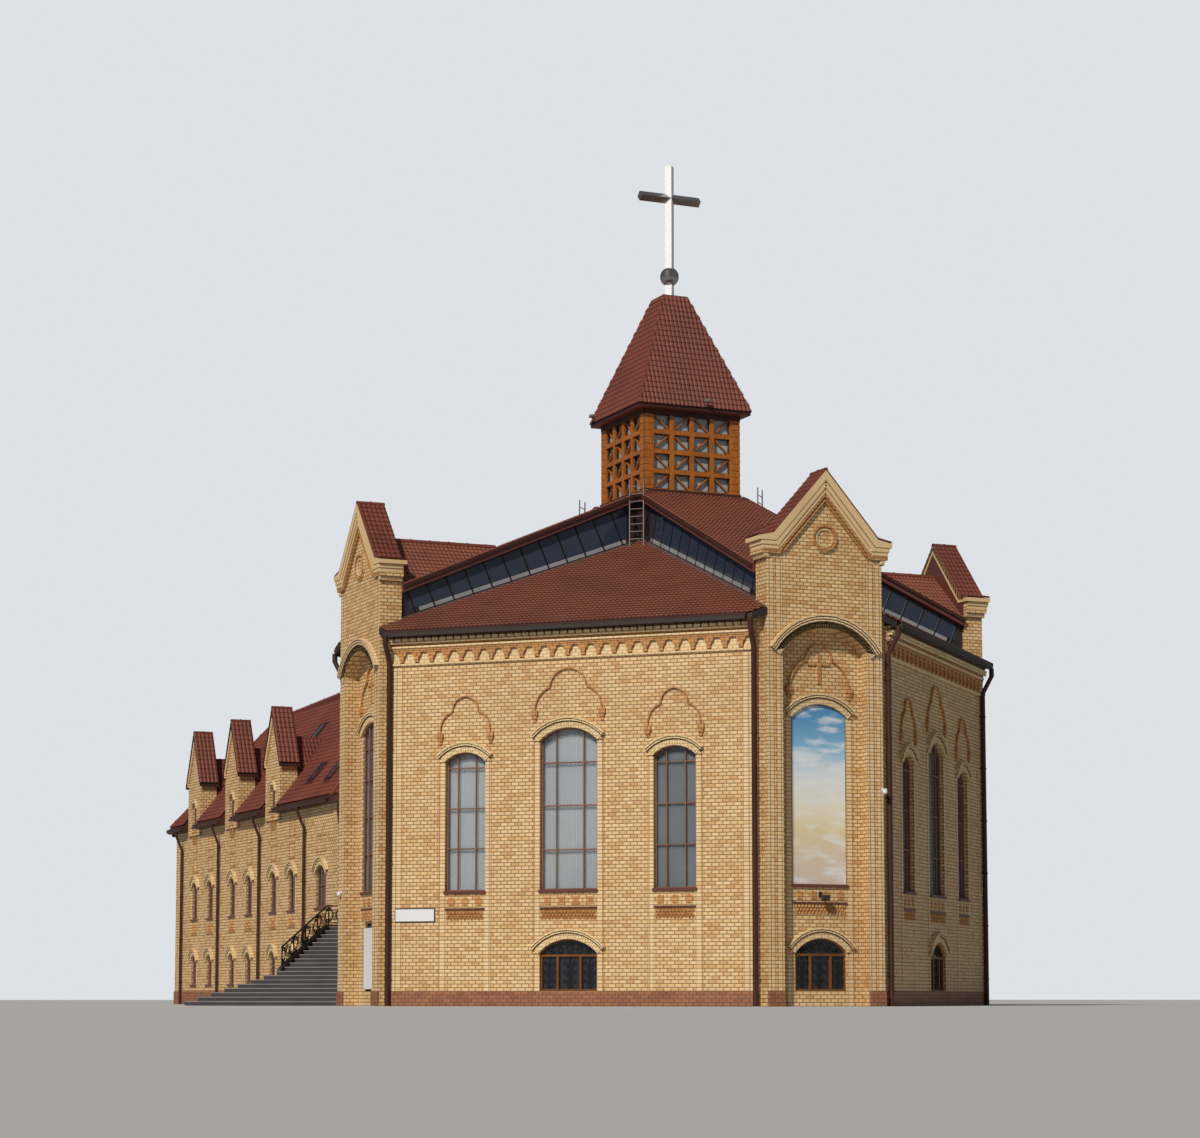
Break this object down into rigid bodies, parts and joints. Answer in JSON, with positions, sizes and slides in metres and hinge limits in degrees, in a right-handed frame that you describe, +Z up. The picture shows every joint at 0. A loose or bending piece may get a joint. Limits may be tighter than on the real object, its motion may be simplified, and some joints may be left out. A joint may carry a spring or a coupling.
{
  "type": "church building, scale model 1:2",
  "caption": "Brick church building: eight-sided hall with gabled bays, glazed lantern tower with a cross, and a long wing with a mansard roof and an outside stair.",
  "frame": {"origin": "on the underside of the hall's ground slab, under the middle of the tower, at the lowest ground", "axes": "+Z up, +Y from the hall along the wing, +X to the side away from the entrance stair"},
  "size_m": [17.3676, 28.76, 19.125],
  "materials": {
    "brick": "yellow brick",
    "tile": "red-brown pressed roof tiles",
    "glass": "clear, dark behind",
    "frame": "dark brown",
    "timber": "orange-brown varnish",
    "steel": "polished",
    "granite": "dark polished steps",
    "iron": "black paint",
    "concrete": "plain"
  },
  "bodies": {
    "root": {"wall_southwest": "brick", "glass_southwest": "glass", "wall_southeast": "brick", "glass_southeast": "glass", "wall_northeast": "brick", "glass_northeast": "glass", "wall_northwest": "brick", "glass_northwest": "glass", "bay_south": "brick", "glass_bay_south": "glass", "bay_east": "brick", "glass_bay_east": "glass", "bay_west": "brick", "glass_bay_west": "glass", "bay_north": "brick", "gable_roof_south": "tile", "gable_roof_east": "tile", "gable_roof_north": "tile", "gable_roof_west": "tile", "upper_roof": "tile", "lower_roof_southwest": "tile", "lower_roof_southeast": "tile", "lower_roof_northeast": "tile", "lower_roof_northwest": "tile", "clerestory_southwest": "frame", "clerestory_southeast": "frame", "clerestory_northeast": "frame", "clerestory_northwest": "frame", "tower_frame": "timber", "tower_glass": "glass", "tower_roof": "tile", "cross": "steel", "roof_ladder": "iron", "hall_ground_slab": "concrete", "hall_floor": "concrete", "wing_wall_west": "brick", "glass_wing_west": "glass", "wing_wall_east": "brick", "glass_wing_east": "glass", "wing_wall_north": "brick", "glass_wing_north": "glass", "porch_wall_west": "brick", "entrance_doors": "timber", "porch_wall_east": "brick", "glass_porch_east": "glass", "wing_ground_slab": "concrete", "wing_floor": "concrete", "attic_floor": "concrete", "wing_roof_west": "tile", "wing_roof_middle": "tile", "wing_roof_east": "tile", "stair_lower_flight": "granite", "stair_upper_flight": "granite", "stair_balustrade": "iron"}
  },
  "joints": []
}
